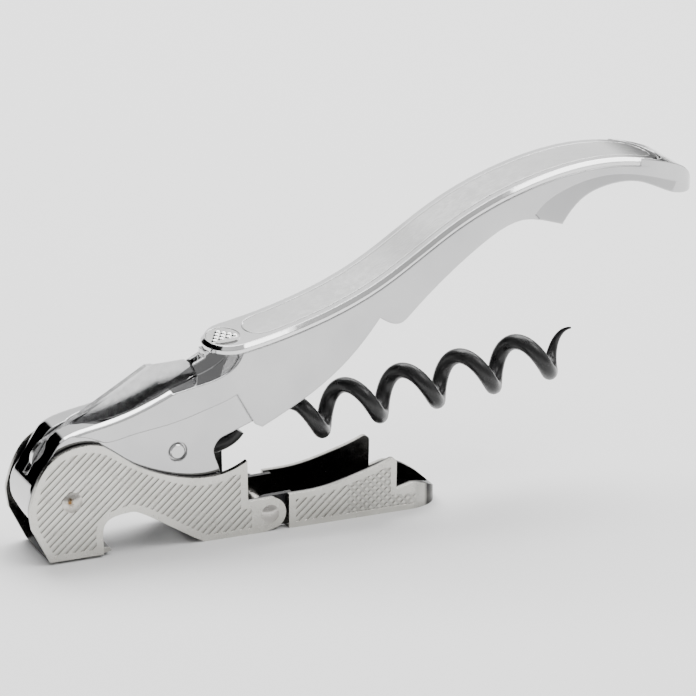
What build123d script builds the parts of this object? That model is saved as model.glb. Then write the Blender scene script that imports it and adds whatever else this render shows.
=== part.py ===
"""Double-lever waiter's corkscrew: cast handle, two-step lever, folding worm and foil blade.

X runs from the head to the tail, Y across the handle, Z up. The levers' flat undersides stand on Z = 0,
and the origin is the middle of the underside of the whole object. Outlines are drawn in the side plane,
whose own origin is the axis of the lever rivet.
"""
from build123d import *
from math import cos, pi, radians, sin
import os

os.makedirs("parts", exist_ok=True)

# Driving dimensions, in millimetres and degrees
PIVOT_X = -53.2                 # lever rivet axis, from the middle of the object
PIVOT_Z = 10.4                  # lever rivet axis above the levers' underside
FIT = 0.04                      # radial clearance round a pin

HANDLE_HALF = 6.35              # half width of the handle and of both levers
SHEET = 1.0                     # sheet thickness of the levers
LEVER_INNER = HANDLE_HALF - SHEET
HEAD_HALF = 5.6                 # half width of the head above the lever's seat
SEAT_HALF = 5.1                 # half width of the head where the lever lies against it
HEAD_R = 7.0                    # round of the head about the lever rivet
SEAT_R = 10.95                  # round of the lever's seat about the same rivet
CHANNEL_HALF = 4.95             # half width of the worm's channel under the handle
EYE_SLOT_HALF = 3.3             # half width of the channel inside the head
TRIM_THICK = 1.3                # trim plate, measured upright
ROOF = 1.3                      # metal left over the worm's channel, measured upright
TRIM = (25.5, 108.0)            # ends of the trim plate and of its inlay, from the lever rivet
PANEL = (32.6, 106.0)
TRIM_BEVEL = 0.6                # bevel round its top
TRIM_NOSE = 5.2                 # length of the rounded ends
PANEL_NOSE = 3.4
INLAY_DEPTH = 0.5
INLAY_HALF = 4.2

RIVET_R = 1.25                  # lever rivet shank
RIVET_HEAD_R = 1.75
RIVET_HEAD_H = 0.55
HINGE = (34.6, -7.3)            # hinge rivet axis in the side plane
HINGE_R = 1.1
HINGE_HEAD_R = 1.6
HINGE_HEAD_H = 0.5
KNUCKLE_R = 2.85
EAR_HALF = LEVER_INNER - 0.2    # outside of the second lever's ears

WORM_PIN = (18.9, 5.6)
WORM_PIN_R = 1.25
WORM_TILT = 6.0                 # worm axis above horizontal at rest
WORM_FOLD = 26.0                # the same angle with the worm folded away
WIRE_R = 1.33
COIL_R = 3.27                   # wire centreline about the worm's own axis
COIL_DROP = 1.4                 # worm axis below the pin
COIL_START = 22.3               # from the pin to the first crest
PITCH = 10.55
TAPER_TURNS = 0.45
TIP_ANGLE = 345                 # where the point ends, counted from a crest
FULL_TURNS = 4

BLADE_PIN = (-1.2, 5.7)
BLADE_PIN_R = 0.9
BLADE_ANGLE = 30.2              # spine above horizontal when closed
BLADE_OPEN = 125                # opening of the blade
BLADE_HALF = 0.6
SLOT_HALF = 0.85
TANG_R = 3.6
RECESS_MIDDLE = (14.3, 11.5)    # floor of the finger recess beside the blade
RECESS_TILT = 25.8
RECESS = (11.8, 3.7)            # half length and half width

SPRING_HALF = 0.7
SPRING_RIVET = (9.4, 3.3)
SPRING_RIVET_R = 0.6
SPRING = [(1.7, 1.75), (10.6, 2.3), (10.6, 4.3), (7.6, 4.0), (1.9, 2.6)]
SPRING_POCKET = [(1.4, 1.55), (10.8, 2.1), (10.8, 4.5), (7.4, 4.3), (3.0, 5.0), (0.8, 2.6)]
PIN_RING = 0.4                  # width and depth of the ring round the worm pin
PIN_RING_DEPTH = 0.7
CROSS_BORES = [
    ((0, 0), RIVET_R),
    (WORM_PIN, WORM_PIN_R),
    (BLADE_PIN, BLADE_PIN_R),
    (SPRING_RIVET, SPRING_RIVET_R),
]
STUD_X = (29.4, 98.0)           # studs that hold the trim plate
STUD_R = 0.9
STUD_DEEP = 2.0

RIDGE_PITCH = 1.0
RIDGE_WIDTH = 0.42
RIDGE_DEPTH = 0.16
RIDGE_ANGLE = 42
CROSS_START = 48.5              # the second lever's ridges cross from here to its nose

SIDE = Plane(origin=(PIVOT_X, 0, PIVOT_Z), x_dir=(1, 0, 0), z_dir=(0, -1, 0))
TOP_VIEW = Plane(origin=(PIVOT_X, 0, PIVOT_Z), x_dir=(1, 0, 0), z_dir=(0, 0, 1))

# Crown of the handle in the side plane, from the neck to the tail
CROWN = [
    (25.2, 22.2), (40, 25.0), (54.4, 30.5), (68.7, 39.3),
    (83.3, 45.1), (98, 46.7), (108.0, 44.7), (112.5, 41.7),
]
TAIL_TIP = (113.7, 39.0)
GRIP = [(87.5, 36.5), (54.4, 24.4)]         # points of the two finger stops under the handle
HEAD_TOP = [(-2.3, 9.2), (1.0, 11.3), (6, 12.3), (13, 14.2), (20, 17.2), (31, 22.4)]
HEAD_ROUND = 2.0                # rounding of the head's top edges
SCOOP_SLOPE = 0.12              # slope of the scoop in each side of the tail
SCOOP_LOW = 36.5                # height where the scoop runs out
NECK_CUT = 1.2                  # how far the neck is cut back under the trim plate's rounded front
CROWN_START = (1, 0.1)
CROWN_END = (0.62, -0.78)


def lowered(points, drop):
    """The same points, lower by drop."""
    return [(x, z - drop) for x, z in points]


def disc(centre, radius, start, end):
    """A round bar across the handle, between two distances from the mid-plane."""
    with BuildPart() as bar:
        with BuildSketch(SIDE.offset(start)):
            with Locations(centre):
                Circle(radius)
        extrude(amount=end - start)
    return bar.part


def ring(centre, outer, inner, start, end):
    """A flat washer or spacer across the handle."""
    with BuildPart() as washer:
        with BuildSketch(SIDE.offset(start)):
            with Locations(centre):
                Circle(outer)
                Circle(inner, mode=Mode.SUBTRACT)
        extrude(amount=end - start)
    return washer.part


def dome(centre, radius, height, face):
    """A domed rivet head standing on a side face at a signed distance from the mid-plane."""
    side = 1 if face > 0 else -1
    ball = (radius ** 2 + height ** 2) / (2 * height)
    middle = SIDE.offset(face).from_local_coords(Vector(*centre, 0))
    with BuildPart() as head:
        with BuildSketch(Plane(origin=middle, x_dir=(1, 0, 0), z_dir=(0, 0, 1))):
            with BuildLine():
                base = Line((0, 0), (radius, 0))
                arc = RadiusArc(base @ 1, (0, -side * height), ball * side)
                Line(arc @ 1, base @ 0)
            make_face()
        revolve(axis=Axis(middle, (0, 1, 0)))
    return head.part


def save(builder, name):
    """Label one finished piece and write it."""
    builder.part.label = name
    export_step(builder.part, f"parts/{name}.step")


# ---------------------------------------------------------------- outlines in the side plane

def crown_height(x):
    """Height of the crown line over the lever rivet at a distance along the handle."""
    crown = Spline(*CROWN, tangents=[CROWN_START, CROWN_END], mode=Mode.PRIVATE)
    low, high = 0.0, 1.0
    while high - low > 1e-5:
        middle = (low + high) / 2
        if (crown @ middle).X < x:
            low = middle
        else:
            high = middle
    return (crown @ low).Y


def is_head_rim(edge):
    """True for a long edge along the top of the head's cheeks."""
    middle = SIDE.to_local_coords(edge @ 0.5)
    return middle.Y > 3 and middle.X < CROWN[0][0] and abs(middle.Z) > HEAD_HALF and edge.length > 1


def head_side():
    """Side view of the head, which runs on inside the front of the handle."""
    with BuildSketch() as outline:
        with BuildLine():
            nose = CenterArc((0, 0), HEAD_R, 150, 150)
            Line(nose @ 0, HEAD_TOP[0])
            Spline(*HEAD_TOP, tangents=[(0.55, 0.83), (1, 0.42)])
            Polyline(HEAD_TOP[-1], (31, 8.63), (26.6, 7.0))
            Spline((26.6, 7.0), (25.3, 5.4), (26.3, 0.9), tangents=[(-0.8, -0.5), (0.25, -1)])
            Polyline((26.3, 0.9), (13.5, 0.6), nose @ 1)
        make_face()
    return outline.sketch


def handle_side():
    """Side view of the handle from its neck to the tail, up to the crown line."""
    with BuildSketch() as outline:
        with BuildLine():
            Spline(*CROWN, tangents=[CROWN_START, CROWN_END])
            Line(CROWN[-1], TAIL_TIP)
            Spline(TAIL_TIP, (108.5, 39.4), (102, 42.0), (94.4, 41.7), GRIP[0], tangents=[(-1, -0.15), (-0.6, -0.8)])
            Spline(GRIP[0], (80, 38.1), (72.4, 34.6), (59.8, 24.2), GRIP[1], tangents=[(-1, 0.3), (-0.8, 0.6)])
            Spline(GRIP[1], (47.2, 16.6), (40, 11.7), (33.3, 8.3), tangents=[(-0.6, -0.8), (-0.9, -0.45)])
            Polyline((33.3, 8.3), (32.0, 9.0), (29.3, 8.0), (25.2, 13.0), CROWN[0])
        make_face()
    return outline.sketch


def first_lever_side():
    """One wall of the first lever: ear, crown-cap hook, arch and hinge knuckle."""
    with BuildSketch() as outline:
        with BuildLine():
            Polyline((-6.9, -3.9), (-4.0, -9.9), (5.3, -9.9), (5.2, -6.4))
            Spline((5.2, -6.4), (6.8, -3.7), (9.5, -3.2), (13.7, -4.7), tangents=[(0, 1), (0.85, -0.5)])
            Polyline((13.7, -4.7), (21.1, -9.4), (22.9, -PIVOT_Z), (33.6, -PIVOT_Z))
            knuckle = CenterArc(HINGE, KNUCKLE_R, -60, 140)
            Line((33.6, -PIVOT_Z), knuckle @ 0)
            Polyline(knuckle @ 1, (30.7, -4.55), (30.6, 2.7))
            Spline((30.6, 2.7), (26, 1.0), (18.7, 1.6), (11.8, 4.4), (5.6, 8.9), tangents=[(-0.85, -0.5), (-0.85, 0.6)])
            Spline((5.6, 8.9), (1.5, 9.4), (-4.4, 6.4), (-7.2, 0), (-6.9, -3.9), tangents=[(-0.9, 0.35), (0.15, -1)])
        make_face()
    return outline.sketch


def second_lever_side():
    """One wall of the second lever, from its flange to the rim notch and nose."""
    with BuildSketch() as outline:
        with BuildLine():
            Polyline((64.8, -PIVOT_Z), (38.0, -PIVOT_Z), (38.0, -4.35))
            Spline((38.0, -4.35), (44, -4.15), (50.6, -2.7), (56.4, -0.8), tangents=[(1, 0), (0.9, 0.4)])
            RadiusArc((56.4, -0.8), (57.5, -1.7), 0.9)
            Polyline((57.5, -1.7), (57.4, -6.4), (60.2, -5.7))
            Spline((60.2, -5.7), (64.8, -7.3), (66.2, -9.3), tangents=[(1, -0.1), (0.1, -1)])
            RadiusArc((66.2, -9.3), (64.8, -PIVOT_Z), 1.4)
        make_face()
    return outline.sketch


def first_lever_panel():
    """Knurled panel of the first lever, inside its plain border."""
    with BuildSketch() as panel:
        with BuildLine():
            Polyline((-5.7, -4.0), (-3.2, -8.8), (4.1, -8.8), (4.0, -6.4))
            Spline((4.0, -6.4), (5.9, -2.9), (9.6, -2.0), (14.3, -3.6), tangents=[(0, 1), (0.85, -0.5)])
            Polyline((14.3, -3.6), (23.3, -9.3), (31.3, -9.3), (31.3, -5.9), (29.4, -5.7), (29.4, 1.0))
            Spline((29.4, 1.0), (26, -0.3), (19.0, 0.3), (12.5, 3.2), (5.8, 7.5), tangents=[(-0.85, -0.5), (-0.85, 0.6)])
            Spline((5.8, 7.5), (1.5, 8.2), (-3.7, 5.6), (-6.0, 0), (-5.7, -4.0), tangents=[(-0.9, 0.35), (0.15, -1)])
        make_face()
    return panel.sketch


def second_lever_panel(start):
    """Knurled panel of the second lever, from a distance along it to the nose."""
    with BuildSketch() as panel:
        with BuildLine():
            top = Spline((39.2, -5.4), (44, -5.2), (50.4, -3.8), (55.6, -2.2), tangents=[(1, 0), (0.9, 0.4)])
            Polyline((55.6, -2.2), (56.4, -2.4), (56.4, -7.3), (64.0, -7.9), (64.8, -9.4), (39.2, -9.4), top @ 0)
        make_face()
        with Locations((start - 20, 0)):
            Rectangle(40, 40, mode=Mode.SUBTRACT)
    return panel.sketch


def ridge_stripes(centre, length, height, angle):
    """Parallel knurl lines over a rectangle."""
    with BuildSketch() as stripes:
        with Locations(Location((*centre, 0), (0, 0, angle))):
            with GridLocations(0, RIDGE_PITCH, 1, int((length + height) / RIDGE_PITCH)):
                Rectangle(length + height, RIDGE_WIDTH)
    return stripes.sketch


def crown_slab(top, bottom):
    """Side view of a layer that follows the crown, between two depths below it."""
    upper = lowered(CROWN, top)
    lower = lowered(CROWN, bottom)
    with BuildSketch() as layer:
        with BuildLine():
            Spline(*upper, tangents=[CROWN_START, CROWN_END])
            Spline(*lower, tangents=[CROWN_START, CROWN_END])
            Line(upper[0], lower[0])
            Line(upper[-1], lower[-1])
        make_face()
    return layer.sketch


def long_oval(start, end, half, nose):
    """Plan view of a long plate with elliptical ends."""
    with BuildSketch() as plan:
        with Locations(((start + end) / 2, 0)):
            Rectangle(end - start - 2 * nose, 2 * half)
        with Locations((start + nose, 0), (end - nose, 0)):
            Ellipse(nose, half)
    return plan.sketch


# ---------------------------------------------------------------- casting

with BuildPart() as handle_body:
    with BuildSketch(SIDE.offset(-HANDLE_HALF)):
        add(head_side())
    extrude(amount=2 * HANDLE_HALF)
    fillet(handle_body.edges().filter_by(is_head_rim), radius=HEAD_ROUND)
    with BuildSketch(SIDE.offset(-HANDLE_HALF)):
        add(handle_side())
    extrude(amount=2 * HANDLE_HALF)
    # plan view: slim head, full-width handle, rounded tail
    with BuildSketch(TOP_VIEW.offset(-20)):
        with BuildLine() as half_plan:
            Polyline((-12, 0), (-12, HEAD_HALF), (22.5, HEAD_HALF))
            Spline((22.5, HEAD_HALF), (28.5, HANDLE_HALF), tangents=[(1, 0), (1, 0)])
            Line((28.5, HANDLE_HALF), (99, HANDLE_HALF))
            Spline((99, HANDLE_HALF), (TAIL_TIP[0], 0), tangents=[(1, 0), (0, -1)])
            mirror(about=Plane.XZ)
        make_face()
    extrude(amount=80, mode=Mode.INTERSECT)
    # neck cut back on both sides, so that the trim plate stands proud of it
    for side in (1, -1):
        with BuildSketch(SIDE.offset(side * (HANDLE_HALF + 0.01))) as neck_cut:
            with BuildLine():
                Spline((30.6, 23.0), (28.9, 19.6), (25.6, 17.6), (18.0, 15.9), tangents=[(-0.3, -1), (-1, -0.2)])
                Polyline((18.0, 15.9), (18.0, 30.0), (30.6, 30.0), (30.6, 23.0))
            make_face()
        extrude(neck_cut.sketch, amount=NECK_CUT, dir=SIDE.z_dir * -side, taper=30, mode=Mode.SUBTRACT)
    # seat of the trim plate: open at the sides, and nested in the tail
    with BuildPart(mode=Mode.PRIVATE) as trim_seat:
        with BuildSketch(SIDE.offset(-HANDLE_HALF - 1)):
            add(crown_slab(-1, TRIM_THICK))
        extrude(amount=2 * HANDLE_HALF + 2)
        with BuildSketch(TOP_VIEW) as seat_plan:
            add(long_oval(TRIM[0], TRIM[1] + FIT, HANDLE_HALF - 0.15 + FIT, TRIM_NOSE))
            with Locations((60, 0)):
                Rectangle(84, 2 * HANDLE_HALF + 2)
        extrude(amount=60, mode=Mode.INTERSECT)
    add(trim_seat.part, mode=Mode.SUBTRACT)
    # worm's channel, open below, and the narrower channel for its eye
    with BuildSketch(SIDE):
        with BuildLine():
            roof = Spline(*lowered(CROWN[:6], TRIM_THICK + ROOF), tangents=[CROWN_START, (1, 0.05)])
            Polyline(roof @ 0, (34.0, 20.0), (34.0, -5), (87.0, -5), (87.0, 36.0), (90.0, 41.0), roof @ 1)
        make_face()
        with Locations((16, 10)):
            Rectangle(36, 80, mode=Mode.SUBTRACT)
        with Locations((105, 10)):
            Rectangle(30, 80, mode=Mode.SUBTRACT)
    extrude(amount=CHANNEL_HALF, both=True, mode=Mode.SUBTRACT)
    with BuildSketch(SIDE):
        with BuildLine():
            eye = CenterArc(WORM_PIN, 4.5, 90 + WORM_FOLD, 90 - WORM_FOLD)
            Line(eye @ 0, (34.5, 17.9))
            Polyline((34.5, 17.9), (34.5, -9), (14.4, -9), eye @ 1)
        make_face()
    extrude(amount=EYE_SLOT_HALF, both=True, mode=Mode.SUBTRACT)
    # seats on both cheeks where the closed lever nests
    for face in (SEAT_HALF, -SEAT_HALF):
        with BuildSketch(SIDE.offset(face)):
            with BuildLine():
                rim = CenterArc((0, 0), SEAT_R, 60, 240)
                Spline(rim @ 0, (10.5, 9.8), (16.3, 10.6), (29.0, 14.6), tangents=[(0.87, -0.5), (0.9, 0.45)])
                Polyline((29.0, 14.6), (32.1, 8.95), (33, -12), rim @ 1)
            make_face()
        extrude(amount=3 if face > 0 else -3, mode=Mode.SUBTRACT)
    # slot and finger recess for the blade
    with BuildSketch(SIDE):
        with BuildLine():
            tang = CenterArc(BLADE_PIN, TANG_R + 0.3, BLADE_ANGLE + BLADE_OPEN + 90, 75)
            Polyline(tang @ 1, (24.8, 14.9), (24.8, 26), (-16, 26), (-16, 9.3), tang @ 0)
        make_face()
    extrude(amount=SLOT_HALF, both=True, mode=Mode.SUBTRACT)
    recess = Plane(
        origin=SIDE.from_local_coords(Vector(*RECESS_MIDDLE, 0)),
        x_dir=(cos(radians(RECESS_TILT)), 0, sin(radians(RECESS_TILT))),
        z_dir=(-sin(radians(RECESS_TILT)), 0, cos(radians(RECESS_TILT))),
    )
    with BuildSketch(recess):
        Ellipse(*RECESS)
    extrude(amount=12, mode=Mode.SUBTRACT)
    # scoop under the flat band of the tail, on both sides: deepest along its upper edge
    for side in (1, -1):
        with BuildPart(mode=Mode.PRIVATE) as scoop:
            with BuildSketch(SIDE.offset(-HANDLE_HALF - 1)):
                with BuildLine():
                    Spline((82.5, 38.8), (88.5, 42.7), (98, 44.0), (107, 42.0), (113.2, 39.6), tangents=[(0.6, 0.8), (0.9, -0.4)])
                    Polyline((113.2, 39.6), (113, 30), (90, 30), (82.5, 38.8))
                make_face()
            extrude(amount=2 * HANDLE_HALF + 2)
            split(bisect_by=Plane(origin=(0, -side * HANDLE_HALF, PIVOT_Z + SCOOP_LOW), z_dir=(0, -side, SCOOP_SLOPE)))
        add(scoop.part, mode=Mode.SUBTRACT)
    # pocket for the back spring, open to the blade's slot
    with BuildSketch(SIDE):
        Polygon(*SPRING_POCKET, align=None)
    extrude(amount=SLOT_HALF, both=True, mode=Mode.SUBTRACT)
    # cross bores, and a shallow ring round each end of the worm pin
    with BuildSketch(SIDE):
        for place, radius in CROSS_BORES:
            with Locations(place):
                Circle(radius + FIT)
    extrude(amount=HANDLE_HALF, both=True, mode=Mode.SUBTRACT)
    for face in (SEAT_HALF - PIN_RING_DEPTH, PIN_RING_DEPTH - SEAT_HALF):
        with BuildSketch(SIDE.offset(face)):
            with Locations(WORM_PIN):
                Circle(WORM_PIN_R + PIN_RING)
        extrude(amount=1 if face > 0 else -1, mode=Mode.SUBTRACT)
    # blind bores for the trim plate's studs
    for x in STUD_X:
        with BuildSketch(TOP_VIEW.offset(crown_height(x) - TRIM_THICK - STUD_DEEP)):
            with Locations((x, 0)):
                Circle(STUD_R + FIT)
        extrude(amount=STUD_DEEP + 1, mode=Mode.SUBTRACT)

save(handle_body, "handle_body")


# ---------------------------------------------------------------- trim plate, inlay and badge

BADGE_X = 28.95
BADGE_HALF = (2.6, 4.1)         # half length and half width of the badge's oval
BADGE_SINK = 0.3

badge_plane = Plane(
    origin=(PIVOT_X + BADGE_X, 0, PIVOT_Z + crown_height(BADGE_X)),
    x_dir=(1, 0, crown_height(BADGE_X + 0.5) - crown_height(BADGE_X - 0.5)),
    z_dir=(crown_height(BADGE_X - 0.5) - crown_height(BADGE_X + 0.5), 0, 1),
)

with BuildPart() as top_trim:
    with BuildSketch(SIDE.offset(-HANDLE_HALF)):
        add(crown_slab(0, TRIM_THICK))
    extrude(amount=2 * HANDLE_HALF)
    with BuildSketch(TOP_VIEW):
        add(long_oval(*TRIM, HANDLE_HALF - 0.15, TRIM_NOSE))
    extrude(amount=60, mode=Mode.INTERSECT)
    chamfer(top_trim.faces().sort_by(SortBy.AREA)[-2:].sort_by(Axis.Z)[-1].edges(), length=TRIM_BEVEL)
    with BuildPart(mode=Mode.PRIVATE) as pocket:
        with BuildSketch(SIDE):
            add(crown_slab(-1, INLAY_DEPTH))
        extrude(amount=HANDLE_HALF, both=True)
        with BuildSketch(TOP_VIEW):
            add(long_oval(*PANEL, INLAY_HALF, PANEL_NOSE))
        extrude(amount=60, mode=Mode.INTERSECT)
    add(pocket.part, mode=Mode.SUBTRACT)
    with BuildSketch(badge_plane.offset(-BADGE_SINK)):
        Ellipse(BADGE_HALF[0] + FIT, BADGE_HALF[1] + FIT)
    extrude(amount=1, mode=Mode.SUBTRACT)
    for x in STUD_X:
        with BuildSketch(TOP_VIEW.offset(crown_height(x) - TRIM_THICK - 0.4)):
            with Locations((x, 0)):
                Circle(STUD_R + FIT)
        extrude(amount=0.8, mode=Mode.SUBTRACT)
save(top_trim, "top_trim")

with BuildPart() as trim_studs:
    for x in STUD_X:
        with BuildSketch(TOP_VIEW.offset(crown_height(x) - TRIM_THICK - STUD_DEEP + 0.1)):
            with Locations((x, 0)):
                Circle(STUD_R)
        extrude(amount=STUD_DEEP + 0.25)
save(trim_studs, "trim_studs")

for name, top, bottom, inset in (("inlay_adhesive", INLAY_DEPTH - 0.1, INLAY_DEPTH, 0.5),
                                 ("inlay_panel", 0.0, INLAY_DEPTH - 0.1, 0.2)):
    with BuildPart() as layer:
        with BuildSketch(SIDE):
            add(crown_slab(top, bottom))
        extrude(amount=HANDLE_HALF, both=True)
        with BuildSketch(TOP_VIEW):
            add(long_oval(PANEL[0] + inset, PANEL[1] - inset, INLAY_HALF - inset, PANEL_NOSE - inset))
        extrude(amount=60, mode=Mode.INTERSECT)
    save(layer, name)

# generic badge: a bunch of grapes with its leaf, on a thin oval plate
GRAPE_R = 0.72
GRAPE_STEP = (1.2, 1.08)        # spacing within a row, and from row to row across the handle
GRAPE_ROWS = 4
LEAF = (1.9, 0.7)
with BuildPart() as badge_emblem:
    with BuildSketch(badge_plane.offset(-BADGE_SINK)):
        Ellipse(*BADGE_HALF)
    extrude(amount=BADGE_SINK - 0.05)
    for row in range(GRAPE_ROWS):
        count = GRAPE_ROWS - row
        for step in range(count):
            spot = ((step - (count - 1) / 2) * GRAPE_STEP[0], row * GRAPE_STEP[1] - 0.9)
            with Locations(badge_plane.offset(-0.45) * Location((*spot, 0))):
                Sphere(GRAPE_R)
    with BuildSketch(badge_plane.offset(-0.1)):
        with Locations((-0.3, -2.55)):
            Ellipse(*LEAF, rotation=-18)
    extrude(amount=0.28)
    split(bisect_by=badge_plane.offset(-BADGE_SINK), keep=Keep.TOP)
save(badge_emblem, "badge_emblem")


# ---------------------------------------------------------------- pins, rivets and washers

def cross_rivet(centre, radius, head_radius, head_height):
    """A rivet right through both levers, with a domed head on each outer face."""
    with BuildPart() as rivet:
        add(disc(centre, radius, -HANDLE_HALF - 0.1, HANDLE_HALF + 0.1))
        for side in (1, -1):
            base = side * (HANDLE_HALF + 0.02)
            add(dome(centre, head_radius, head_height, base))
    return rivet


save(cross_rivet((0, 0), RIVET_R, RIVET_HEAD_R, RIVET_HEAD_H), "lever_rivet")
save(cross_rivet(HINGE, HINGE_R, HINGE_HEAD_R, HINGE_HEAD_H), "hinge_rivet")

for name, centre, radius, reach in (("worm_pin", WORM_PIN, WORM_PIN_R, SEAT_HALF),
                                    ("blade_pin", BLADE_PIN, BLADE_PIN_R, SEAT_HALF - 0.05),
                                    ("spring_rivet", SPRING_RIVET, SPRING_RIVET_R, SEAT_HALF - 0.05)):
    with BuildPart() as pin:
        with BuildSketch(SIDE):
            with Locations(centre):
                Circle(radius)
        extrude(amount=reach, both=True)
        chamfer(pin.edges().filter_by(GeomType.CIRCLE), length=0.15)
    save(pin, name)

with BuildPart() as lever_washers:
    for side in (1, -1):
        add(ring((0, 0), 3.2, RIVET_R + 0.1, side * (SEAT_HALF + FIT), side * (LEVER_INNER - FIT)))
save(lever_washers, "lever_washers")

with BuildPart() as blade_washers:
    for side in (1, -1):
        add(ring(BLADE_PIN, 2.0, BLADE_PIN_R + FIT, side * (BLADE_HALF + 0.03), side * (SLOT_HALF - 0.03)))
save(blade_washers, "blade_washers")

for name, side in (("worm_spacer_near", 1), ("worm_spacer_far", -1)):
    with BuildPart() as spacer:
        add(ring(WORM_PIN, 2.4, WORM_PIN_R + FIT, side * (WIRE_R + 0.08), side * (EYE_SLOT_HALF - 0.05)))
    save(spacer, name)

with BuildPart() as back_spring:
    with BuildSketch(SIDE):
        Polygon(*SPRING, align=None)
        with Locations(SPRING_RIVET):
            Circle(SPRING_RIVET_R + FIT, mode=Mode.SUBTRACT)
    extrude(amount=SPRING_HALF, both=True)
save(back_spring, "back_spring")


# ---------------------------------------------------------------- worm

# local x is up across the worm, y toward the near side, z along it from the pin to the point
WORM = Plane(
    origin=SIDE.from_local_coords(Vector(*WORM_PIN, 0)),
    x_dir=(-sin(radians(WORM_TILT)), 0, cos(radians(WORM_TILT))),
    z_dir=(cos(radians(WORM_TILT)), 0, sin(radians(WORM_TILT))),
)
EYE_R = WORM_PIN_R + 0.06 + WIRE_R          # wire centreline round the pin
BLEND_ANGLE = 40                            # where the shank has run into the coil
TAPER_ANGLE = 360 * (FULL_TURNS - TAPER_TURNS) + TIP_ANGLE
POINT_ANGLE = 360 * FULL_TURNS + TIP_ANGLE
POINT_R = 0.18


def coil_point(angle):
    """Centreline of the coil at an angle from its first crest, in the worm's plane."""
    turn = radians(angle)
    along = COIL_START + PITCH * angle / 360
    return (COIL_R * cos(turn) - COIL_DROP, COIL_R * sin(turn), along)


def coil_direction(angle):
    """Direction of the coil's centreline at an angle."""
    turn = radians(angle)
    return (-COIL_R * sin(turn), COIL_R * cos(turn), PITCH / (2 * pi))


def coil_wire(start, end):
    """Centreline of the coil between two angles."""
    seat = Plane(
        origin=(-COIL_DROP, 0, coil_point(start)[2]),
        x_dir=(cos(radians(start)), sin(radians(start)), 0),
        z_dir=(0, 0, 1),
    )
    return seat.location * Helix(pitch=PITCH, height=PITCH * (end - start) / 360, radius=COIL_R)


coil = coil_wire(BLEND_ANGLE, TAPER_ANGLE)
point = coil_wire(TAPER_ANGLE, POINT_ANGLE)

with BuildPart() as straight_worm:
    with BuildLine() as eye_and_shank:
        free_end = Spline((-0.9, 0, 12.4), (-EYE_R, 0, 7.5), tangents=[(-0.75, 0, -0.66), (0, 0, -1)])
        Line((-EYE_R, 0, 7.5), (-EYE_R, 0, 0))
        ThreePointArc((-EYE_R, 0, 0), (0, 0, -EYE_R), (EYE_R, 0, 0))
        Line((EYE_R, 0, 0), (EYE_R, 0, 14.5))
        Spline((EYE_R, 0, 14.5), coil_point(BLEND_ANGLE), tangents=[(0, 0, 1), coil_direction(BLEND_ANGLE)])
    with BuildSketch(Plane(origin=free_end @ 0, z_dir=free_end % 0)):
        Circle(WIRE_R)
    sweep(path=eye_and_shank.line)
    with BuildSketch(Plane(origin=coil @ 0, z_dir=coil % 0)):
        Circle(WIRE_R)
    sweep(path=coil, is_frenet=True)
    with BuildSketch(Plane(origin=point @ 0, z_dir=point % 0), mode=Mode.PRIVATE) as thick_end:
        Circle(WIRE_R)
    with BuildSketch(Plane(origin=point @ 1, z_dir=point % 1), mode=Mode.PRIVATE) as thin_end:
        Circle(POINT_R)
    sweep(sections=[thick_end.sketch, thin_end.sketch], path=point, multisection=True, is_frenet=True)

with BuildPart() as worm:
    add(WORM.location * straight_worm.part)
save(worm, "worm")


# ---------------------------------------------------------------- foil blade

BLADE = Plane(
    origin=SIDE.from_local_coords(Vector(*BLADE_PIN, 0)),
    x_dir=(cos(radians(BLADE_ANGLE)), 0, sin(radians(BLADE_ANGLE))),
    z_dir=(0, -1, 0),
)
EDGE = -2.9                     # cutting edge below the blade pin, in the blade's plane
GRIND = 1.1                     # where the grind starts
RICASSO = 6.0                   # where the edge starts
TEETH = 14
TOOTH_PITCH = 1.25

with BuildPart() as foil_blade:
    with BuildSketch(BLADE):
        with BuildLine():
            tang = CenterArc((0, 0), TANG_R, 90, 215)
            Line(tang @ 0, (21.2, TANG_R))
            Polyline((21.2, TANG_R), (27.2, 0.1), (28.0, -2.0))
            Spline((28.0, -2.0), (25.0, EDGE + 0.05), (20, EDGE), tangents=[(-0.9, -0.45), (-1, 0)])
            Polyline((20, EDGE), (3.2, EDGE), tang @ 1)
        make_face()
        Circle(BLADE_PIN_R + FIT, mode=Mode.SUBTRACT)
    extrude(amount=BLADE_HALF, both=True)
    # hollow sides down to the edge, with fine teeth
    section = Plane(origin=BLADE.from_local_coords(Vector(RICASSO, 0, 0)), x_dir=(0, 1, 0), z_dir=BLADE.x_dir)
    for side in (1, -1):
        with BuildSketch(section):
            Polygon(
                (side * BLADE_HALF, -GRIND), (side * 0.06, -EDGE + 0.02), (side * 3, 4), (side * 3, -GRIND),
                align=None,
            )
        extrude(amount=30, mode=Mode.SUBTRACT)
    with BuildSketch(BLADE):
        for tooth in range(TEETH):
            with Locations((RICASSO + 1.6 + tooth * TOOTH_PITCH, EDGE - 0.25)):
                Circle(0.5)
    extrude(amount=2, both=True, mode=Mode.SUBTRACT)
save(foil_blade, "foil_blade")


# ---------------------------------------------------------------- levers

HOOK_WEB = [(-4.0, -9.9), (5.3, -9.9), (6.8, -9.55), (6.5, -9.0), (4.9, -8.9), (-3.5, -8.9)]
REAR_WEB = [(22.9, -PIVOT_Z), (29.4, -PIVOT_Z), (29.4, -9.4), (23.2, -9.4), (21.6, -8.4), (21.1, -9.4)]


def knurl(panel, centre, length, height, angle):
    """Cut parallel grooves into both outer faces of the part in hand, inside a panel."""
    for side in (1, -1):
        with BuildSketch(SIDE.offset(side * (HANDLE_HALF - RIDGE_DEPTH))) as grooves:
            add(ridge_stripes(centre, length, height, angle))
            add(panel, mode=Mode.INTERSECT)
        extrude(grooves.sketch, amount=1, dir=SIDE.z_dir * side, clean=False, mode=Mode.SUBTRACT)


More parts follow.
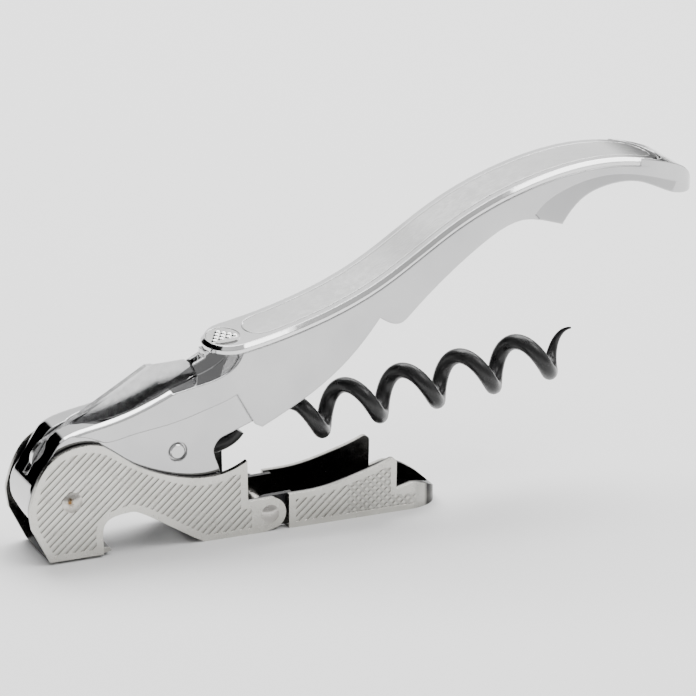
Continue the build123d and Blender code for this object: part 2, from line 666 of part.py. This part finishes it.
with BuildPart() as first_lever:
    for side in (1, -1):
        with BuildSketch(SIDE.offset(side * LEVER_INNER)):
            add(first_lever_side())
        extrude(amount=side * SHEET)
    for web in (HOOK_WEB, REAR_WEB):
        with BuildSketch(SIDE):
            Polygon(*web, align=None)
        extrude(amount=LEVER_INNER + SHEET / 2, both=True)
    with BuildSketch(SIDE):
        Circle(RIVET_R + FIT)
        with Locations(HINGE):
            Circle(HINGE_R)
    extrude(amount=HANDLE_HALF, both=True, mode=Mode.SUBTRACT)
    knurl(first_lever_panel(), (12, 0), 50, 24, RIDGE_ANGLE)
save(first_lever, "first_lever")

FLANGE_X = 38.0                 # front of the second lever's full-width walls
NOSE_END = 66.2


def second_lever_plan(half, end, corner):
    """Plan view of the second lever with a rounded nose."""
    with BuildSketch() as plan:
        with BuildLine():
            Polyline((FLANGE_X - 1, 0), (FLANGE_X - 1, half), (end - corner, half))
            Spline((end - corner, half), (end, 0), tangents=[(1, 0), (0, -1)])
            mirror(about=Plane.XZ)
        make_face()
    return plan.sketch


with BuildPart() as second_lever:
    with BuildSketch(SIDE.offset(-HANDLE_HALF)):
        add(second_lever_side())
    extrude(amount=2 * HANDLE_HALF)
    with BuildSketch(TOP_VIEW.offset(-PIVOT_Z)):
        add(second_lever_plan(HANDLE_HALF, NOSE_END, 7))
    extrude(amount=12, mode=Mode.INTERSECT)
    with BuildSketch(TOP_VIEW.offset(-PIVOT_Z + SHEET)):
        add(second_lever_plan(LEVER_INNER, NOSE_END - SHEET, 6.5))
    extrude(amount=12, mode=Mode.SUBTRACT)
    # joggled ears that run inside the first lever
    for side in (1, -1):
        with BuildSketch(SIDE.offset(side * EAR_HALF)):
            with BuildLine():
                ear = CenterArc(HINGE, 2.7, 90, 180)
                Polyline(ear @ 1, (FLANGE_X + SHEET, -10.0), (FLANGE_X + SHEET, -4.5), ear @ 0)
            make_face()
            with Locations(HINGE):
                Circle(HINGE_R + FIT, mode=Mode.SUBTRACT)
        extrude(amount=-side * SHEET)
        with BuildSketch(SIDE.offset(side * (EAR_HALF - SHEET))):
            with Locations((FLANGE_X + SHEET / 2, -(PIVOT_Z + 4.5) / 2)):
                Rectangle(SHEET, PIVOT_Z - 4.5)
        extrude(amount=side * (HANDLE_HALF - EAR_HALF + SHEET))
    knurl(second_lever_panel(FLANGE_X), (50, -6), 34, 14, RIDGE_ANGLE)
    knurl(second_lever_panel(CROSS_START), (54, -6), 24, 14, -RIDGE_ANGLE)
save(second_lever, "second_lever")
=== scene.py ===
"""Looks of the double-lever corkscrew: camera, studio light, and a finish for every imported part."""
from math import cos, radians, sin

import bpy
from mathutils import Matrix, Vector


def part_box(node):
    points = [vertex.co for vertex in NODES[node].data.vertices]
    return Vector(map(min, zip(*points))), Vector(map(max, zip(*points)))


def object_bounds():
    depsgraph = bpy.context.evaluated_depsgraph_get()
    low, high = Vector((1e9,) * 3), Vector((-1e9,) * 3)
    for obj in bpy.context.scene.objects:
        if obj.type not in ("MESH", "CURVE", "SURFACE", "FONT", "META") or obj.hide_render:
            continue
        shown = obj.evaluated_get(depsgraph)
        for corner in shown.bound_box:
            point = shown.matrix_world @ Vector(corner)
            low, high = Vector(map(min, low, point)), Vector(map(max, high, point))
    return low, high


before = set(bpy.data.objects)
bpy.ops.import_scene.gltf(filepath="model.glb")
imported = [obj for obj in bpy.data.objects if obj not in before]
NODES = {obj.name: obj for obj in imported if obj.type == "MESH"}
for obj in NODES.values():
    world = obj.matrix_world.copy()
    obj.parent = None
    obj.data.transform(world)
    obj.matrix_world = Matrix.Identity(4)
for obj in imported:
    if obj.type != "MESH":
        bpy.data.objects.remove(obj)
CAD_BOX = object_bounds()
MM = 0.001
SHEET = 1.0 * MM                                    # thickness of the levers
OUTER_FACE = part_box("second_lever")[1].y            # outer face of the levers, from the mid-plane
INNER_FACE = OUTER_FACE - SHEET
RIVET_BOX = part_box("lever_rivet")
RIVET_MIDDLE = (RIVET_BOX[0] + RIVET_BOX[1]) / 2
RIVET_FACE = Vector((RIVET_MIDDLE.x, RIVET_BOX[0].y, RIVET_MIDDLE.z))    # middle of its near head

# camera
VIEW_AZIMUTH = radians(-23)
VIEW_ELEVATION = radians(19.5)
VIEW_DISTANCE = 0.7
LENS = 217.24
SENSOR = 36
NEAR_CLIP = 0.01
AIM = (Vector(CAD_BOX[0]) + Vector(CAD_BOX[1])) / 2 + Vector((-1.9, 0, -0.7)) * MM

# light: each is a direction, with two cosines from it and the brightness at each
TENT_LIGHT = ((0.3, 0.9, 0.45), (-0.3, 0.8, 0.5, 1.6))
BLACK_CARDS = (
    ((-0.9, 0.42, 0.25), (0.8, 0.83, 1.0, 0.0)),
    ((-0.45, 0.86, 0.3), (0.93, 0.95, 1.0, 0.0)),
    ((0.75, 0.55, 0.05), (0.9, 0.93, 1.0, 0.02)),
)
FLOOR_SIZE = 6

# surface
NOISE_RANGE = (0.3, 0.7)            # where nearly all of a noise texture's values lie
BEVEL_SAMPLES = 6
LEVER_EDGE = 0.12 * MM              # shaded rounding of the levers' edges
INNER_SHADE_FADE = (0.1 * MM, 0.45 * MM)    # painted shade: the near-black of the inner faces gives way to nickel between these depths in the sheet
GROOVE_FADE = (0.17 * MM, 0.02 * MM)    # painted shade in the knurling grooves clears between these depths below the outer face
GROOVE_SHADE = 0.72
STAIN_OFFSET = Vector((-0.5, 0, 0.3)) * MM
STAIN_FADE = (1.0 * MM, 1.7 * MM)   # the stain ends between these distances from its middle
STAIN_RAGGED = 1.6 * MM             # how far noise moves that edge
COATING_BUMP = 0.04 * MM
BLADE_GRAIN = (1, 1, 0.05)          # scratches run up the blade
BLADE_GRAIN_DEPTH = 0.01 * MM


# ------------------------------------------------------------------ node helpers

def new_material(name):
    """A material with an empty tree but for its shader; returns it, its nodes, links and shader."""
    material = bpy.data.materials.new(name)
    material.use_nodes = True
    tree = material.node_tree
    return material, tree.nodes, tree.links, tree.nodes["Principled BSDF"]


def position(nodes):
    """Object coordinates."""
    return nodes.new("ShaderNodeTexCoord").outputs["Object"]


def noise(nodes, links, scale, detail=3.0, stretch=(1, 1, 1)):
    """Noise on object coordinates, in features per metre; stretch scales the three axes."""
    turn = nodes.new("ShaderNodeMapping")
    turn.inputs["Scale"].default_value = stretch
    cloud = nodes.new("ShaderNodeTexNoise")
    cloud.inputs["Scale"].default_value = scale
    cloud.inputs["Detail"].default_value = detail
    links.new(position(nodes), turn.inputs["Vector"])
    links.new(turn.outputs["Vector"], cloud.inputs["Vector"])
    return cloud.outputs["Fac"]


def ramp(nodes, links, source, low, high, low_color, high_color):
    """A two-stop ramp between two greys or colours."""
    node = nodes.new("ShaderNodeValToRGB")
    stops = node.color_ramp.elements
    stops[0].position, stops[0].color = low, (*low_color, 1)
    stops[1].position, stops[1].color = high, (*high_color, 1)
    links.new(source, node.inputs["Fac"])
    return node.outputs["Color"]


def fade(nodes, links, source, start, end, low=0.0, high=1.0):
    """A value that goes from low to high as its source goes from start to end."""
    node = nodes.new("ShaderNodeMapRange")
    for socket, value in zip(("From Min", "From Max", "To Min", "To Max"), (start, end, low, high)):
        node.inputs[socket].default_value = value
    links.new(source, node.inputs["Value"])
    return node.outputs["Result"]


def calculate(nodes, links, operation, *terms):
    """A maths node on terms that are sockets or numbers."""
    node = nodes.new("ShaderNodeMath")
    node.operation = operation
    for socket, term in zip(node.inputs, terms):
        if isinstance(term, (int, float)):
            socket.default_value = term
        else:
            links.new(term, socket)
    return node.outputs[0]


def roughen(nodes, links, shader, scale, detail, low, high):
    """Roughness that varies with noise from low to high."""
    patches = noise(nodes, links, scale, detail)
    links.new(fade(nodes, links, patches, *NOISE_RANGE, low, high), shader.inputs["Roughness"])


def bump(nodes, links, source, strength, distance, shader):
    """Bump from a grey source on the shader's normal."""
    node = nodes.new("ShaderNodeBump")
    node.inputs["Strength"].default_value = strength
    node.inputs["Distance"].default_value = distance
    links.new(source, node.inputs["Height"])
    links.new(node.outputs["Normal"], shader.inputs["Normal"])


def soft_edges(nodes, links, shader, radius):
    """Edges rounded in the shading by a small radius."""
    node = nodes.new("ShaderNodeBevel")
    node.samples = BEVEL_SAMPLES
    node.inputs["Radius"].default_value = radius
    links.new(node.outputs["Normal"], shader.inputs["Normal"])


# ------------------------------------------------------------------ camera and studio

def add_camera():
    """A long lens looking slightly down at the near side, from the head's end."""
    away = Vector((
        sin(VIEW_AZIMUTH) * cos(VIEW_ELEVATION),
        -cos(VIEW_AZIMUTH) * cos(VIEW_ELEVATION),
        sin(VIEW_ELEVATION),
    ))
    bpy.ops.object.camera_add(location=AIM + away * VIEW_DISTANCE)
    camera = bpy.context.object
    camera.rotation_euler = away.to_track_quat("Z", "Y").to_euler()
    camera.data.lens = LENS
    camera.data.sensor_width = SENSOR
    camera.data.clip_start = NEAR_CLIP
    bpy.context.scene.camera = camera


def add_softbox(name, place, size, power):
    """A rectangular soft light that faces the middle of the object."""
    bpy.ops.object.light_add(type="AREA", location=place)
    light = bpy.context.object
    light.name = name
    light.data.shape = "RECTANGLE"
    light.data.size, light.data.size_y = size
    light.data.energy = power
    light.rotation_euler = (Vector(place) - AIM).to_track_quat("Z", "Y").to_euler()


def light_tent():
    """A white tent round the object, brighter behind it, with black cards for the chrome to reflect."""
    world = bpy.data.worlds.new("light tent")
    bpy.context.scene.world = world
    world.use_nodes = True
    nodes, links = world.node_tree.nodes, world.node_tree.links
    direction = nodes.new("ShaderNodeTexCoord").outputs["Generated"]

    def brightness(facing, stops):
        closeness = nodes.new("ShaderNodeVectorMath")
        closeness.operation = "DOT_PRODUCT"
        closeness.inputs[1].default_value = Vector(facing).normalized()
        links.new(direction, closeness.inputs[0])
        return fade(nodes, links, closeness.outputs["Value"], *stops)

    shade = brightness(*TENT_LIGHT)
    for card in BLACK_CARDS:
        shade = calculate(nodes, links, "MULTIPLY", shade, brightness(*card))
    links.new(shade, nodes["Background"].inputs["Color"])


def add_floor(material):
    """A wide flat floor under the levers."""
    bpy.ops.mesh.primitive_plane_add(size=FLOOR_SIZE, location=(0, 0, 0))
    floor = bpy.context.object
    floor.name = "floor"
    floor.data.materials.append(material)


# ------------------------------------------------------------------ finishes

def plated_metal(name, dark, bright, rough, grain=None, grain_depth=0.0, edge=0.0):
    """Plated metal: faint clouding of the plate, varying polish and an optional fine grain."""
    material, nodes, links, shader = new_material(name)
    shader.inputs["Metallic"].default_value = 1
    clouds = noise(nodes, links, 90, 4)
    links.new(ramp(nodes, links, clouds, 0.35, 0.7, dark, bright), shader.inputs["Base Color"])
    roughen(nodes, links, shader, 900, 3, *rough)
    if edge:
        soft_edges(nodes, links, shader, edge)
    if grain:
        scratches = noise(nodes, links, 1400, 2, grain)
        bump(nodes, links, scratches, 0.25, grain_depth, shader)
    return material


def lever_nickel():
    """Nickel on pressed sheet: warm outside, with painted shade in near-black on the inner faces and painted
    shade in the knurling grooves.
    """
    material, nodes, links, shader = new_material("lever nickel")
    shader.inputs["Metallic"].default_value = 1
    clouds = noise(nodes, links, 160, 5)
    outside = ramp(nodes, links, clouds, 0.3, 0.75, (0.55, 0.54, 0.5), (0.66, 0.65, 0.61))
    # near-black base colour on the inner faces is painted shade inside the channel
    inner_shade_clouds = noise(nodes, links, 220, 5)
    painted_inner_shade = ramp(nodes, links, inner_shade_clouds, 0.35, 0.7, (0.012, 0.012, 0.014), (0.07, 0.068, 0.062))
    split = nodes.new("ShaderNodeSeparateXYZ")
    links.new(position(nodes), split.inputs[0])
    across = calculate(nodes, links, "ABSOLUTE", split.outputs["Y"])
    inner_shade_start, inner_shade_end = (INNER_FACE + depth for depth in INNER_SHADE_FADE)
    groove_floor, groove_top = (OUTER_FACE - depth for depth in GROOVE_FADE)
    # darkening in the knurling grooves is painted shade, multiplied into the nickel colour
    painted_groove_shade = nodes.new("ShaderNodeMixRGB")
    painted_groove_shade.blend_type = "MULTIPLY"
    painted_groove_shade.inputs[0].default_value = 1
    links.new(outside, painted_groove_shade.inputs[1])
    links.new(fade(nodes, links, across, groove_floor, groove_top, GROOVE_SHADE), painted_groove_shade.inputs[2])
    # mix: painted shade on the inner faces, nickel with painted groove shade elsewhere
    body = nodes.new("ShaderNodeMixRGB")
    links.new(fade(nodes, links, across, inner_shade_start, inner_shade_end), body.inputs[0])
    links.new(painted_inner_shade, body.inputs[1])
    links.new(painted_groove_shade.outputs[0], body.inputs[2])
    links.new(body.outputs[0], shader.inputs["Base Color"])
    roughen(nodes, links, shader, 700, 3, 0.16, 0.32)
    soft_edges(nodes, links, shader, LEVER_EDGE)
    return material


def stained_rivet(stain_middle):
    """Steel rivet head with a brown stain round one point of it."""
    material, nodes, links, shader = new_material("stained rivet steel")
    shader.inputs["Metallic"].default_value = 1
    clean = ramp(nodes, links, noise(nodes, links, 300, 4), 0.3, 0.7, (0.52, 0.5, 0.46), (0.68, 0.66, 0.62))
    reach = nodes.new("ShaderNodeVectorMath")
    reach.operation = "DISTANCE"
    reach.inputs[1].default_value = stain_middle
    links.new(position(nodes), reach.inputs[0])
    cloud = noise(nodes, links, 1500, 4)
    ragged = calculate(nodes, links, "MULTIPLY_ADD", cloud, STAIN_RAGGED, reach.outputs["Value"])
    body = nodes.new("ShaderNodeMixRGB")
    body.inputs[1].default_value = (0.16, 0.09, 0.035, 1)
    links.new(fade(nodes, links, ragged, *STAIN_FADE), body.inputs[0])
    links.new(clean, body.inputs[2])
    links.new(body.outputs[0], shader.inputs["Base Color"])
    roughen(nodes, links, shader, 800, 3, 0.18, 0.38)
    return material


def coated_wire():
    """Black non-stick coating, satin, worn a little and with a fine orange-peel surface."""
    material, nodes, links, shader = new_material("black worm coating")
    wear = noise(nodes, links, 260, 5)
    black = ramp(nodes, links, wear, 0.35, 0.75, (0.004, 0.004, 0.0045), (0.014, 0.014, 0.014))
    links.new(black, shader.inputs["Base Color"])
    roughen(nodes, links, shader, 500, 4, 0.24, 0.42)
    shader.inputs["Specular IOR Level"].default_value = 0.42
    bump(nodes, links, noise(nodes, links, 2600, 3), 0.35, COATING_BUMP, shader)
    return material


def glue_film():
    """Matte, slightly yellow contact glue."""
    material, nodes, links, shader = new_material("contact glue")
    glue = ramp(nodes, links, noise(nodes, links, 400, 3), 0.3, 0.7, (0.5, 0.46, 0.34), (0.62, 0.58, 0.46))
    links.new(glue, shader.inputs["Base Color"])
    roughen(nodes, links, shader, 900, 3, 0.6, 0.85)
    return material


def plain_floor():
    """Matte pale paper."""
    material, nodes, links, shader = new_material("pale paper")
    paper = ramp(nodes, links, noise(nodes, links, 3, 2), 0.3, 0.7, (0.87, 0.87, 0.87), (0.88, 0.88, 0.88))
    links.new(paper, shader.inputs["Base Color"])
    shader.inputs["Roughness"].default_value = 0.9
    return material


def dress(material, *names):
    """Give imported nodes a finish."""
    for name in names:
        for slot in NODES[name].material_slots:
            slot.material = material


# ------------------------------------------------------------------ the object and its studio

dress(plated_metal("cast chrome", (0.5, 0.5, 0.505), (0.57, 0.57, 0.57), (0.035, 0.08), edge=0.3 * MM),
      "handle_body")
dress(plated_metal("trim chrome", (0.7, 0.7, 0.7), (0.78, 0.78, 0.78), (0.05, 0.12), edge=0.2 * MM),
      "top_trim")
dress(plated_metal("inlay chrome", (0.7, 0.7, 0.695), (0.77, 0.77, 0.765), (0.1, 0.2), edge=0.15 * MM),
      "inlay_panel")
dress(glue_film(), "inlay_adhesive")
dress(plated_metal("badge silver", (0.6, 0.6, 0.59), (0.72, 0.72, 0.71), (0.14, 0.26)), "badge_emblem")
dress(lever_nickel(), "first_lever", "second_lever")
dress(stained_rivet(RIVET_FACE + STAIN_OFFSET), "lever_rivet")
dress(plated_metal("rivet steel", (0.5, 0.48, 0.45), (0.68, 0.66, 0.63), (0.14, 0.3)), "hinge_rivet")
dress(plated_metal("turned steel", (0.55, 0.55, 0.55), (0.64, 0.64, 0.64), (0.16, 0.3)),
      "worm_pin", "blade_pin", "spring_rivet", "trim_studs")
dress(plated_metal("washer steel", (0.5, 0.5, 0.49), (0.6, 0.6, 0.59), (0.25, 0.4)),
      "lever_washers", "blade_washers", "worm_spacer_near", "worm_spacer_far")
dress(plated_metal("spring steel", (0.3, 0.31, 0.34), (0.42, 0.42, 0.45), (0.2, 0.35)), "back_spring")
dress(plated_metal("blade steel", (0.6, 0.6, 0.61), (0.7, 0.7, 0.7), (0.14, 0.26),
                   grain=BLADE_GRAIN, grain_depth=BLADE_GRAIN_DEPTH),
      "foil_blade")
dress(coated_wire(), "worm")

add_camera()
light_tent()
add_softbox("rear softbox", (0.15, 0.4, 0.75), (1.0, 0.6), 14)
add_softbox("top softbox", (0.3, -0.28, 0.72), (0.5, 0.4), 3)
add_floor(plain_floor())
